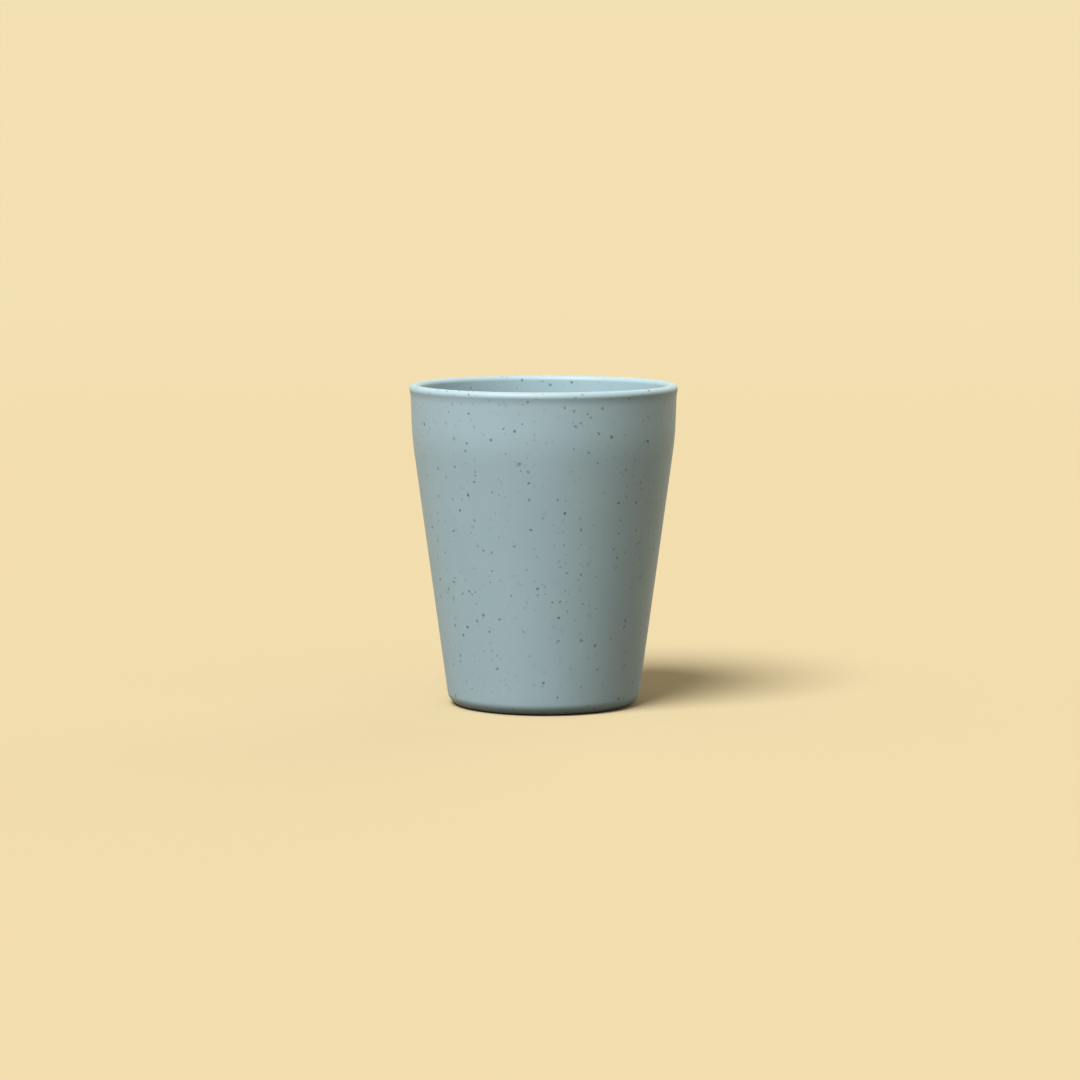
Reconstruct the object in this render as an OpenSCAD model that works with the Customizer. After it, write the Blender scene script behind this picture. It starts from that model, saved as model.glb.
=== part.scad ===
// Round drinking cup, moulded in one piece from straw-filled plastic.
// The cup stands on its base at z = 0 with its axis on Z. Lengths are in millimetres.

/* [Mouth] */
// Outside diameter of the lip at its widest
mouth_d = 80; // [74:0.5:90]
// How far the lip stands out past the band below it
lip_flare = 0.25; // [0.1:0.05:0.6]
// Radius of the hollow under the lip
flare_r = 12; // [6:0.5:20]
// Height from the knee to the top of the lip
band_h = 16; // [14:0.5:24]
// Draft of the band, in degrees from upright
band_draft = 2; // [0.5:0.1:3]

/* [Wall] */
// Height of the whole cup
cup_h = 96; // [80:0.5:115]
// Thickness of the wall
wall_t = 2.85; // [1.8:0.05:3.6]
// Length of the blend on each side of the knee
knee_blend = 4.7; // [2:0.1:7]

/* [Base] */
// Diameter of the base, measured as if its edge were sharp
base_d = 56.8; // [50:0.2:60]
// Radius of the rounded edge of the base
base_edge_r = 4; // [2:0.1:5]
// Width of the ring that the cup stands on, before its inner edge is rounded
foot_w = 3.4; // [2:0.1:6]
// Depth of the recess inside the ring
recess_h = 0.8; // [0.5:0.1:1.5]
// Radius of the two edges of the recess
recess_edge_r = 0.6; // [0.2:0.1:0.8]
// Thickness of the floor above the recess
floor_t = 2.8; // [2:0.1:4]
// Radius of the inside corner between floor and wall
inner_edge_r = 6; // [3:0.5:10]

/* [Gate mark] */
// Diameter of the well that the moulding gate leaves under the floor
gate_d = 7; // [5:0.5:12]
// Depth of the well
gate_h = 0.5; // [0.3:0.1:0.8]
// Diameter of the stub that is left in the well
stub_d = 2; // [1:0.2:3]
// Height of the stub
stub_h = 0.3; // [0.1:0.05:0.3]

/* [Hidden] */
$fn = 128;
straw_blue = "#a2b9c2";

// Widest step along a round in the section, in degrees, and the fewest steps in one
round_step = 6;
least_steps = 6;

// The lip is a full round that the inside of the band runs into
lip_r = (wall_t + lip_flare * cos(band_draft)) / (1 + cos(band_draft));
lip_centre = [mouth_d / 2 - lip_r, cup_h - lip_r];

// Directions along the outside of the band: up it, and straight out of it
band_up = [sin(band_draft), cos(band_draft)];
band_out = [cos(band_draft), -sin(band_draft)];
band_at_lip = [mouth_d / 2 - lip_flare, lip_centre.y];

// The hollow under the lip touches both the band and the lip's round
flare_out = flare_r + (band_at_lip - lip_centre) * band_out;
flare_down = sqrt((flare_r + lip_r) ^ 2 - flare_out ^ 2);
flare_centre = lip_centre + flare_out * band_out - flare_down * band_up;
lip_start = heading(flare_centre - lip_centre);
lip_crown = heading([0, 1]);
lip_end = heading(-band_out);

// Outside corners of the wall, before they are rounded
base_corner = [base_d / 2, 0];
knee = along(band_at_lip, band_up, cup_h - band_h);

// Directions along the outside of the taper, and the bend between it and the band
taper_up = unit(knee - base_corner);
taper_out = [taper_up.y, -taper_up.x];
knee_bend = acos(band_up * taper_up);
knee_r = knee_blend / tan(knee_bend / 2);

// Inside corners of the wall, one wall thickness in
lip_inside = lip_centre - lip_r * band_out;
knee_inside = knee - unit(band_out + taper_out) * wall_t / cos(knee_bend / 2);
floor_z = recess_h + floor_t;
floor_corner = along(knee_inside, taper_up, floor_z);
floor_middle = [0, floor_z];

// Corners under the base, in from the ring that the cup stands on to the stub in the middle
foot_outer = base_corner.x - base_edge_r * tan(turn([0, 0], base_corner, knee) / 2);
foot_inner = [foot_outer - foot_w, 0];
recess_corner = [foot_inner.x - recess_h, recess_h];
well_edge = [gate_d / 2, recess_h];
well_corner = [gate_d / 2, recess_h + gate_h];
stub_root = [stub_d / 2, well_corner.y];
stub_edge = [stub_d / 2, well_corner.y - stub_h];
stub_middle = [0, stub_edge.y];

// Vector of length 1 in the direction of v
function unit(v) = v / norm(v);

// Direction of v, in degrees
function heading(v) = atan2(v.y, v.x);

// Point at height z on the line through p in the given direction
function along(p, way, z) = p + way * (z - p.y) / way.y;

// Angle turned through at p on the way from a to b, positive to the left
function turn(a, p, b) = atan2(cross(p - a, b - p), (p - a) * (b - p));

// Points round a centre, from one heading to another
function arc(centre, r, from, to) =
    let (steps = max(least_steps, ceil(abs(to - from) / round_step)))
    [for (i = [0 : steps])
        let (way = from + (to - from) * i / steps)
        centre + r * [cos(way), sin(way)]];

// Points of the round of radius r that takes the place of corner p between a and b
function round_corner(a, p, b, r) =
    let (bend = turn(a, p, b))
    let (centre = p + unit(unit(a - p) + unit(b - p)) * r / cos(bend / 2))
    let (start = p + unit(a - p) * r * tan(abs(bend) / 2))
    let (from = heading(start - centre))
    arc(centre, r, from, from + bend);

// Every point of a list but its first
function rest(list) = [for (i = [1 : len(list) - 1]) list[i]];

// Section of the cup, once round from the axis under the base
section = concat(
    [stub_middle, stub_edge, stub_root, well_corner, well_edge],
    round_corner(well_edge, recess_corner, foot_inner, recess_edge_r),
    round_corner(recess_corner, foot_inner, base_corner, recess_edge_r),
    round_corner(foot_inner, base_corner, knee, base_edge_r),
    round_corner(base_corner, knee, band_at_lip, knee_r),
    arc(flare_centre, flare_r, lip_end, heading(lip_centre - flare_centre)),
    rest(arc(lip_centre, lip_r, lip_start, lip_crown)),
    rest(arc(lip_centre, lip_r, lip_crown, lip_end)),
    round_corner(lip_inside, knee_inside, floor_corner, knee_r - wall_t),
    round_corner(knee_inside, floor_corner, floor_middle, inner_edge_r),
    [floor_middle]
);

// The whole cup: floor, tapered wall, band and full-round lip in one moulding
module cup() {
    color(straw_blue) rotate_extrude() polygon(section);
}

cup();
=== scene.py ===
import math

import bmesh
import bpy
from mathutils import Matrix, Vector


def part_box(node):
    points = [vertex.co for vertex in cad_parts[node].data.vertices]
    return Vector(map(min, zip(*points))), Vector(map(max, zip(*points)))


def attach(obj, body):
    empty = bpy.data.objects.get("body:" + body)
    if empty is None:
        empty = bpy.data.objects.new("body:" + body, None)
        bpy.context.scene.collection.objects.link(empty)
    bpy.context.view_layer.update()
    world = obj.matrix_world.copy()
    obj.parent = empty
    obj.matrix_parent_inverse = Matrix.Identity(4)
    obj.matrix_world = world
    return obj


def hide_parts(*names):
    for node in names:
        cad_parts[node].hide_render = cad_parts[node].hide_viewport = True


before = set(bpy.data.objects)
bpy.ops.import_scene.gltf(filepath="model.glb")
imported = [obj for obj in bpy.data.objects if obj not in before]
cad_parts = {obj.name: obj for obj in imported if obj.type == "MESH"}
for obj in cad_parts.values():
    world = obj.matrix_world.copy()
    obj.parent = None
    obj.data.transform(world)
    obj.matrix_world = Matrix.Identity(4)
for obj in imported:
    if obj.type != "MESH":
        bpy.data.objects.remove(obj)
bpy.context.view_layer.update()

# The cup: one injection moulding in plastic filled with ground straw. The wall tapers to a rounded base,
# a steeper band stands under a full-round lip, and the cup rests on a ring around a shallow recess.
# It comes out of the mould whole, so nothing is fixed to it and no seam crosses it.

# Sizes are written in millimetres and held in metres. The height and the mouth are the frame's own.
MM = 0.001
cup_low, cup_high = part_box("cup")
cup_height = cup_high.z - cup_low.z
mouth_radius = cup_high.x
lip_flare = 0.25 * MM
flare_radius = 12 * MM
band_height = 16 * MM
band_draft = math.radians(2)
wall = 2.85 * MM
knee_blend = 4.7 * MM
base_radius = 28.4 * MM
base_edge_radius = 4 * MM
foot_width = 3.4 * MM
recess_depth = 0.8 * MM
recess_edge_radius = 0.6 * MM
floor_thickness = 2.8 * MM
inner_edge_radius = 6 * MM
gate_radius = 3.5 * MM
gate_depth = 0.5 * MM
stub_radius = 1 * MM
stub_height = 0.3 * MM

# The section is drawn in (radius, height), with a step every few degrees along a round.
round_step = math.radians(5)
least_steps = 8
longest_straight = 2.5 * MM
steps_round_cup = 192
weld_distance = 0.001 * MM


def along(point, direction, height):
    """The point at a height on the line through another point."""
    return point + direction * (height - point.y) / direction.y


def turn_at(before, corner, after):
    """The angle that a path turns through at a corner, positive to the left."""
    arrive = corner - before
    leave = after - corner
    return math.atan2(arrive.x * leave.y - arrive.y * leave.x, arrive.dot(leave))


def draw_line(outline, end, point):
    """Draws an outline on from its end, straight to a point, and returns its new end."""
    made = bmesh.ops.extrude_vert_indiv(outline, verts=[end])
    new_end = made["verts"][0]
    new_end.co = (point.x, 0, point.y)
    return new_end


def draw_round(outline, end, centre, turn):
    """Draws an outline on from its end, round a centre, and returns its new end."""
    steps = max(least_steps, math.ceil(abs(turn) / round_step))
    made = bmesh.ops.spin(
        outline, geom=[end], cent=(centre.x, 0, centre.y), axis=(0, -1, 0), angle=turn, steps=steps
    )
    return made["geom_last"][0]


def draw_corner(outline, end, corner, after, radius):
    """Draws an outline on to a corner and round it, ready to head for the point after it."""
    before = end.co.xz
    turn = turn_at(before, corner, after)
    back = (before - corner).normalized()
    ahead = (after - corner).normalized()
    centre = corner + (back + ahead).normalized() * radius / math.cos(turn / 2)
    end = draw_line(outline, end, corner + back * radius * math.tan(abs(turn) / 2))
    return draw_round(outline, end, centre, turn)


# The lip is a full round that the inside of the band runs into.
band_up = Vector((math.sin(band_draft), math.cos(band_draft)))
band_out = Vector((math.cos(band_draft), -math.sin(band_draft)))
lip_radius = (wall + lip_flare * math.cos(band_draft)) / (1 + math.cos(band_draft))
lip_centre = Vector((mouth_radius - lip_radius, cup_height - lip_radius))
band_at_lip = Vector((mouth_radius - lip_flare, lip_centre.y))

# A shallow hollow under the lip touches both the band and the lip's round.
flare_out = flare_radius + (band_at_lip - lip_centre).dot(band_out)
flare_down = math.sqrt((flare_radius + lip_radius) ** 2 - flare_out**2)
flare_centre = lip_centre + band_out * flare_out - band_up * flare_down
flare_start = flare_centre - band_out * flare_radius
flare_to_lip = (lip_centre - flare_centre).normalized()
flare_turn = math.acos(flare_to_lip.dot(-band_out))

# The wall's outside corners, and its inside corners one wall thickness in.
base_corner = Vector((base_radius, 0))
knee = along(band_at_lip, band_up, cup_height - band_height)
taper_up = (knee - base_corner).normalized()
taper_out = Vector((taper_up.y, -taper_up.x))
knee_bend = math.acos(band_up.dot(taper_up))
knee_radius = knee_blend / math.tan(knee_bend / 2)
knee_inside = knee - (band_out + taper_out).normalized() * wall / math.cos(knee_bend / 2)
floor_height = recess_depth + floor_thickness
floor_corner = along(knee_inside, taper_up, floor_height)
floor_middle = Vector((0, floor_height))

# The corners under the base, out from the stub that the moulding gate leaves in the middle.
base_edge_reach = base_edge_radius * math.tan(turn_at(Vector((0, 0)), base_corner, knee) / 2)
foot_inner = Vector((base_radius - base_edge_reach - foot_width, 0))
recess_corner = Vector((foot_inner.x - recess_depth, recess_depth))
well_top = recess_depth + gate_depth
stub_bottom = well_top - stub_height

outline = bmesh.new()
end = outline.verts.new((0, 0, stub_bottom))
end = draw_line(outline, end, Vector((stub_radius, stub_bottom)))
end = draw_line(outline, end, Vector((stub_radius, well_top)))
end = draw_line(outline, end, Vector((gate_radius, well_top)))
end = draw_line(outline, end, Vector((gate_radius, recess_depth)))
end = draw_corner(outline, end, recess_corner, foot_inner, recess_edge_radius)
end = draw_corner(outline, end, foot_inner, base_corner, recess_edge_radius)
end = draw_corner(outline, end, base_corner, knee, base_edge_radius)
end = draw_corner(outline, end, knee, band_at_lip, knee_radius)
end = draw_line(outline, end, flare_start)
end = draw_round(outline, end, flare_centre, -flare_turn)
end = draw_round(outline, end, lip_centre, math.pi + flare_turn)
end = draw_corner(outline, end, knee_inside, floor_corner, knee_radius - wall)
end = draw_corner(outline, end, floor_corner, floor_middle, inner_edge_radius)
end = draw_line(outline, end, floor_middle)

# Long straights are cut up, so that the shading of a round doesn't spread along them.
for edge in outline.edges[:]:
    cuts = math.ceil(edge.calc_length() / longest_straight) - 1
    if cuts > 0:
        bmesh.ops.subdivide_edges(outline, edges=[edge], cuts=cuts)

# Turned once round the axis, the outline becomes the cup. Welding closes it where it meets the axis.
bmesh.ops.spin(
    outline,
    geom=outline.verts[:] + outline.edges[:],
    cent=(0, 0, 0),
    axis=(0, 0, 1),
    angle=math.tau,
    steps=steps_round_cup,
    use_merge=True,
)
bmesh.ops.remove_doubles(outline, verts=outline.verts[:], dist=weld_distance)
bmesh.ops.recalc_face_normals(outline, faces=outline.faces[:])

# Everything is shaded smooth but the crisp edges of the gate's well and stub.
sharpest_smooth = math.radians(40)
for face in outline.faces:
    face.smooth = True
for edge in outline.edges:
    edge.smooth = edge.calc_face_angle() < sharpest_smooth

cup_mesh = bpy.data.meshes.new("cup_moulding")
outline.to_mesh(cup_mesh)
outline.free()
cup_moulding = bpy.data.objects.new("cup_moulding", cup_mesh)
bpy.context.collection.objects.link(cup_moulding)


def linear(hex_colour):
    """A colour written as sRGB hex, as the linear RGBA that a shader takes."""
    channels = [int(hex_colour[i : i + 2], 16) / 255 for i in (1, 3, 5)]
    return [c / 12.92 if c <= 0.04045 else ((c + 0.055) / 1.055) ** 2.4 for c in channels] + [1]


def add_node(owner, kind, settings=(), inputs=()):
    """Adds a node to a material or world, with its settings and its inputs: values, or outputs to link."""
    node = owner.node_tree.nodes.new(kind)
    for name, value in dict(settings).items():
        setattr(node, name, value)
    for socket, value in dict(inputs).items():
        if isinstance(value, bpy.types.NodeSocket):
            owner.node_tree.links.new(value, node.inputs[socket])
        else:
            node.inputs[socket].default_value = value
    return node


# A Mix node has a set of sockets for each kind of value. These are the places of those for colours.
MIX_SHARE = 0
MIX_FIRST = 6
MIX_SECOND = 7
MIX_RESULT = 2

# Straw-filled polypropylene, moulded satin: a pale blue-grey body, a little cloudy, with dark specks of
# straw at the surface, fainter ones under it, and a soft broad sheen.
straw_plastic = bpy.data.materials.new("straw_plastic_moulded_satin")
straw_plastic.use_nodes = True
straw_plastic.node_tree.nodes.clear()
body_colour = linear("#a0b9c2")
cloud_colour = linear("#98b2bc")
dark_straw = linear("#23353a")
brown_straw = linear("#3d403b")
cloud_size = 14 * MM
ragged_size = 0.8 * MM
ragged_reach = 1.1 * MM

place = add_node(straw_plastic, "ShaderNodeTexCoord").outputs["Object"]
clouds = add_node(
    straw_plastic,
    "ShaderNodeTexNoise",
    inputs={"Vector": place, "Scale": 1 / cloud_size, "Detail": 3, "Roughness": 0.6},
)

# The outlines of the specks are ragged, because they are looked up at places moved about a little.
ragged = add_node(
    straw_plastic,
    "ShaderNodeTexNoise",
    inputs={"Vector": place, "Scale": 1 / ragged_size, "Detail": 3, "Roughness": 0.65},
)
ragged_place = add_node(
    straw_plastic,
    "ShaderNodeVectorMath",
    {"operation": "MULTIPLY_ADD"},
    {0: ragged.outputs["Color"], 1: [ragged_reach] * 3, 2: place},
).outputs["Vector"]


def lay_specks(
    colour,
    spacing,
    share,
    smallest,
    largest,
    softness,
    palest,
    darkest,
    stretch=(1, 1, 1),
    turn=(0, 0, 0),
):
    """Lays straw specks over a colour and returns the new one.

    A share of the cells in a random packing hold a speck each, whose radius, tint and darkness vary.
    Softness is the width of a speck's blurred edge.
    """
    packing = add_node(
        straw_plastic,
        "ShaderNodeMapping",
        {"vector_type": "TEXTURE"},
        {"Vector": ragged_place, "Rotation": turn, "Scale": [spacing * s for s in stretch]},
    )
    cells = add_node(
        straw_plastic,
        "ShaderNodeTexVoronoi",
        inputs={"Vector": packing.outputs["Vector"], "Scale": 1},
    )
    chance = add_node(
        straw_plastic,
        "ShaderNodeSeparateColor",
        inputs={"Color": cells.outputs["Color"]},
    )
    present = add_node(
        straw_plastic,
        "ShaderNodeMath",
        {"operation": "LESS_THAN"},
        {0: chance.outputs["Red"], 1: share},
    )
    tint = add_node(
        straw_plastic,
        "ShaderNodeMapRange",
        inputs={"Value": chance.outputs["Red"], "From Max": share},
    )
    radius = add_node(
        straw_plastic,
        "ShaderNodeMapRange",
        inputs={
            "Value": chance.outputs["Green"],
            "To Min": smallest / spacing,
            "To Max": largest / spacing,
        },
    )
    darkness = add_node(
        straw_plastic,
        "ShaderNodeMapRange",
        inputs={"Value": chance.outputs["Blue"], "To Min": palest, "To Max": darkest},
    )
    inside = add_node(
        straw_plastic,
        "ShaderNodeMath",
        {"operation": "SUBTRACT"},
        {0: radius.outputs["Result"], 1: cells.outputs["Distance"]},
    )
    body = add_node(
        straw_plastic,
        "ShaderNodeMath",
        {"operation": "MULTIPLY", "use_clamp": True},
        {0: inside.outputs["Value"], 1: spacing / softness},
    )
    cover = add_node(
        straw_plastic,
        "ShaderNodeMath",
        {"operation": "MULTIPLY"},
        {0: body.outputs["Value"], 1: darkness.outputs["Result"]},
    )
    cover_present = add_node(
        straw_plastic,
        "ShaderNodeMath",
        {"operation": "MULTIPLY"},
        {0: cover.outputs["Value"], 1: present.outputs["Value"]},
    )
    straw = add_node(
        straw_plastic,
        "ShaderNodeMix",
        {"data_type": "RGBA"},
        {MIX_SHARE: tint.outputs["Result"], MIX_FIRST: dark_straw, MIX_SECOND: brown_straw},
    )
    laid = add_node(
        straw_plastic,
        "ShaderNodeMix",
        {"data_type": "RGBA"},
        {
            MIX_SHARE: cover_present.outputs["Value"],
            MIX_FIRST: colour,
            MIX_SECOND: straw.outputs[MIX_RESULT],
        },
    )
    return laid.outputs[MIX_RESULT]


colour = add_node(
    straw_plastic,
    "ShaderNodeMix",
    {"data_type": "RGBA"},
    {MIX_SHARE: clouds.outputs["Fac"], MIX_FIRST: body_colour, MIX_SECOND: cloud_colour},
).outputs[MIX_RESULT]

# Straw under the skin, faint and blurred.
colour = lay_specks(
    colour,
    spacing=2.6 * MM,
    share=0.5,
    smallest=0.5 * MM,
    largest=0.85 * MM,
    softness=0.45 * MM,
    palest=0.06,
    darkest=0.2,
)

# Dust of straw.
colour = lay_specks(
    colour,
    spacing=1.1 * MM,
    share=0.26,
    smallest=0.08 * MM,
    largest=0.2 * MM,
    softness=0.06 * MM,
    palest=0.2,
    darkest=0.6,
)

# Ground straw at the surface.
colour = lay_specks(
    colour,
    spacing=2.2 * MM,
    share=0.47,
    smallest=0.35 * MM,
    largest=0.6 * MM,
    softness=0.18 * MM,
    palest=0.18,
    darkest=0.73,
)

# Short bits of stalk. Their turns, in radians, are chosen so that they lie every way.
stalk_turns = [(0.5, 0.9, 0.3), (-0.9, 0.4, 1.7), (1.4, -0.3, 2.6)]
for stalk_turn in stalk_turns:
    colour = lay_specks(
        colour,
        spacing=3.6 * MM,
        share=0.15,
        smallest=0.33 * MM,
        largest=0.5 * MM,
        softness=0.14 * MM,
        palest=0.25,
        darkest=0.72,
        stretch=(0.75, 0.75, 1.7),
        turn=stalk_turn,
    )

# The skin dips a little where a speck lies. Its own grain, a tenth of a millimetre across or less, is
# drawn coarser so that it shows.
grain_size = 0.5 * MM
grain_depth = 0.006 * MM
dip_depth = 0.03 * MM
grain = add_node(
    straw_plastic,
    "ShaderNodeTexNoise",
    inputs={"Vector": place, "Scale": 1 / grain_size, "Detail": 2},
)
grain_bump = add_node(
    straw_plastic,
    "ShaderNodeBump",
    inputs={"Height": grain.outputs["Fac"], "Distance": grain_depth},
)
dips = add_node(
    straw_plastic,
    "ShaderNodeBump",
    inputs={"Height": colour, "Distance": dip_depth, "Normal": grain_bump.outputs["Normal"]},
)

# Clouds and grain vary the gloss. They reach 1 each, so that together they reach 2.
smoothest = 0.44
roughest = 0.6
unevenness_limit = 2
unevenness = add_node(
    straw_plastic,
    "ShaderNodeMath",
    {"operation": "ADD"},
    {0: clouds.outputs["Fac"], 1: grain.outputs["Fac"]},
)
roughness = add_node(
    straw_plastic,
    "ShaderNodeMapRange",
    inputs={
        "Value": unevenness.outputs["Value"],
        "From Max": unevenness_limit,
        "To Min": smoothest,
        "To Max": roughest,
    },
)
shader = add_node(
    straw_plastic,
    "ShaderNodeBsdfPrincipled",
    inputs={
        "Base Color": colour,
        "Roughness": roughness.outputs["Result"],
        "IOR": 1.49,
        "Normal": dips.outputs["Normal"],
    },
)
add_node(straw_plastic, "ShaderNodeOutputMaterial", inputs={"Surface": shader.outputs["BSDF"]})
cup_mesh.materials.append(straw_plastic)

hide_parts("cup")
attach(cup_moulding, "root")

# The floor: a wide sheet of plain pale board, painted matt, that the cup stands in the middle of.
# Far from the cup it fades into the pale surround, so that no edge or horizon shows. It lies a hair
# below the foot, so that the two flat faces don't flicker through each other.
floor_radius = 8000 * MM
floor_steps = 96
floor_drop = 0.05 * MM

floor_mesh = bpy.data.meshes.new("studio_floor")
board = bmesh.new()
bmesh.ops.create_circle(board, cap_ends=True, radius=floor_radius, segments=floor_steps)
bmesh.ops.translate(board, verts=board.verts[:], vec=(0, 0, -floor_drop))
board.to_mesh(floor_mesh)
board.free()
studio_floor = bpy.data.objects.new("studio_floor", floor_mesh)
bpy.context.collection.objects.link(studio_floor)

# The light that the board throws back on the cup comes from a darker paint than the one that is seen, so
# that the wall, which leans towards the floor, stays a little darker than the band.
pale_cream = linear("#f3e0b3")
floor_paint = linear("#bbad8b")
bounce_paint = linear("#322e27")
fade_start = 600 * MM
fade_end = 3000 * MM


def shown(owner):
    """A mask that is 1 where a surface is seen: straight, in a reflection or through something clear."""
    path = add_node(owner, "ShaderNodeLightPath")
    seen = path.outputs["Is Camera Ray"]
    for ray in ("Is Glossy Ray", "Is Transmission Ray"):
        either = add_node(
            owner,
            "ShaderNodeMath",
            {"operation": "MAXIMUM"},
            {0: seen, 1: path.outputs[ray]},
        )
        seen = either.outputs["Value"]
    return seen


matt_board = bpy.data.materials.new("matt_painted_board")
matt_board.use_nodes = True
matt_board.node_tree.nodes.clear()
floor_seen = shown(matt_board)
floor_place = add_node(matt_board, "ShaderNodeTexCoord").outputs["Object"]
reach = add_node(matt_board, "ShaderNodeVectorMath", {"operation": "LENGTH"}, {0: floor_place})
fade = add_node(
    matt_board,
    "ShaderNodeMapRange",
    {"interpolation_type": "SMOOTHSTEP"},
    {"Value": reach.outputs["Value"], "From Min": fade_start, "From Max": fade_end},
)
fade_seen = add_node(
    matt_board,
    "ShaderNodeMath",
    {"operation": "MULTIPLY"},
    {0: fade.outputs["Result"], 1: floor_seen},
)
paint_colour = add_node(
    matt_board,
    "ShaderNodeMix",
    {"data_type": "RGBA"},
    {MIX_SHARE: floor_seen, MIX_FIRST: bounce_paint, MIX_SECOND: floor_paint},
).outputs[MIX_RESULT]
paint = add_node(matt_board, "ShaderNodeBsdfDiffuse", inputs={"Color": paint_colour})
distance = add_node(matt_board, "ShaderNodeEmission", inputs={"Color": pale_cream})
faded = add_node(
    matt_board,
    "ShaderNodeMixShader",
    inputs={0: fade_seen.outputs["Value"], 1: paint.outputs["BSDF"], 2: distance.outputs["Emission"]},
)
add_node(matt_board, "ShaderNodeOutputMaterial", inputs={"Surface": faded.outputs["Shader"]})
floor_mesh.materials.append(matt_board)

# The light: a soft lamp high up, to the left and in front, a weak broad one low behind on the right, and
# an even pale surround as fill. Levels are shares of the light at which a colour renders as it is written.


def hang_lamp(name, level, height, left, softness):
    """Hangs a distant lamp. At a level of 1, a surface that squarely faces it renders in its own colour.

    Height is the angle to the lamp above the floor, and left the angle from straight in front.
    """
    lamp_data = bpy.data.lights.new(name, "SUN")
    lamp_data.energy = level * math.pi
    lamp_data.angle = softness
    lamp = bpy.data.objects.new(name, lamp_data)
    to_lamp = Vector((
        -math.cos(height) * math.sin(left),
        -math.cos(height) * math.cos(left),
        math.sin(height),
    ))
    lamp.rotation_euler = (-to_lamp).to_track_quat("-Z", "Y").to_euler()
    bpy.context.collection.objects.link(lamp)


hang_lamp(
    "soft_key",
    level=1.5,
    height=math.radians(56),
    left=math.radians(33),
    softness=math.radians(30),
)
hang_lamp(
    "broad_back_fill",
    level=0.2,
    height=math.radians(20),
    left=math.radians(215),
    softness=math.radians(50),
)
fill_level = 0.48
fill_colour = linear("#fff1dc")

surround = bpy.data.worlds.new("pale_surround")
surround.use_nodes = True
surround.node_tree.nodes.clear()
fill = add_node(
    surround,
    "ShaderNodeBackground",
    inputs={"Color": fill_colour, "Strength": fill_level},
)
backdrop = add_node(surround, "ShaderNodeBackground", inputs={"Color": pale_cream, "Strength": 1})
fill_or_backdrop = add_node(
    surround,
    "ShaderNodeMixShader",
    inputs={0: shown(surround), 1: fill.outputs["Background"], 2: backdrop.outputs["Background"]},
)
add_node(surround, "ShaderNodeOutputWorld", inputs={"Surface": fill_or_backdrop.outputs["Shader"]})
bpy.context.scene.world = surround

# The camera: it looks a little down on the cup from straight in front, with a long lens from about a
# metre away. The cup's middle falls on a pixel of a square picture of 1080 by 1080.
picture_side = 1080
focal_length_pixels = 3700
cup_middle_pixel = Vector((543.6, 543.6))
view_height = math.radians(6.27)
view_distance = 1109 * MM
sensor_millimetres = 36

cup_middle = Vector((0, 0, cup_height / 2))
camera_data = bpy.data.cameras.new("camera")
camera_data.sensor_width = sensor_millimetres
camera_data.lens = sensor_millimetres * focal_length_pixels / picture_side
camera_data.dof.use_dof = False
camera = bpy.data.objects.new("camera", camera_data)
to_camera = Vector((0, -math.cos(view_height), math.sin(view_height)))
camera.location = cup_middle + to_camera * view_distance
picture_middle_pixel = Vector((picture_side, picture_side)) / 2
off_centre = (cup_middle_pixel - picture_middle_pixel) * view_distance / focal_length_pixels
aim = cup_middle + Vector((-off_centre.x, 0, off_centre.y))
camera.rotation_euler = (aim - camera.location).to_track_quat("-Z", "Y").to_euler()
bpy.context.collection.objects.link(camera)
bpy.context.scene.camera = camera
bpy.context.scene.view_settings.view_transform = "Standard"
